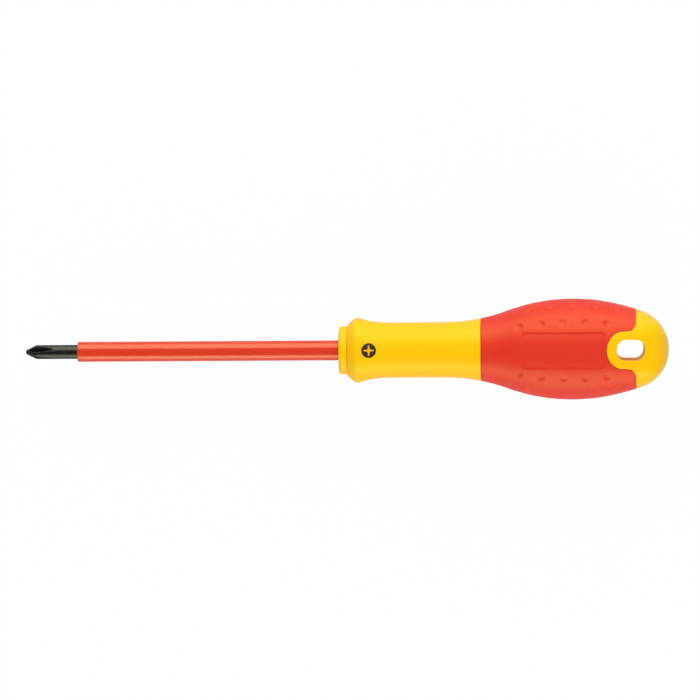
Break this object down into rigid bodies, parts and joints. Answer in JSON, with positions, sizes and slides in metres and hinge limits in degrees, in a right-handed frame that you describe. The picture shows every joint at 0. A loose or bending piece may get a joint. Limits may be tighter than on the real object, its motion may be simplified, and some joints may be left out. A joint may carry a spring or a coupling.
{
  "type": "insulated screwdriver",
  "caption": "Insulated cross-tip screwdriver: dark steel blade in a red sleeve, yellow guarded handle with a red soft grip and a hanging slot through the butt.",
  "frame": {"origin": "centre of the flat end of the cross tip", "axes": "+X along the blade from the tip to the butt, +Z out of the handle's panel face"},
  "size_m": [0.2058, 0.0322, 0.0308],
  "materials": {
    "dark_steel": "black-finished alloy steel, satin",
    "red_insulation": "moulded insulating plastic, satin",
    "core_plastic": "moulded hard plastic, satin",
    "handle_plastic": "moulded hard plastic, satin",
    "grip_elastomer": "moulded soft elastomer, matt"
  },
  "bodies": {
    "root": {"blade": "dark_steel", "blade_sleeve": "red_insulation", "inner_core": "core_plastic", "handle_shell": "handle_plastic", "soft_grip": "grip_elastomer"}
  },
  "joints": []
}
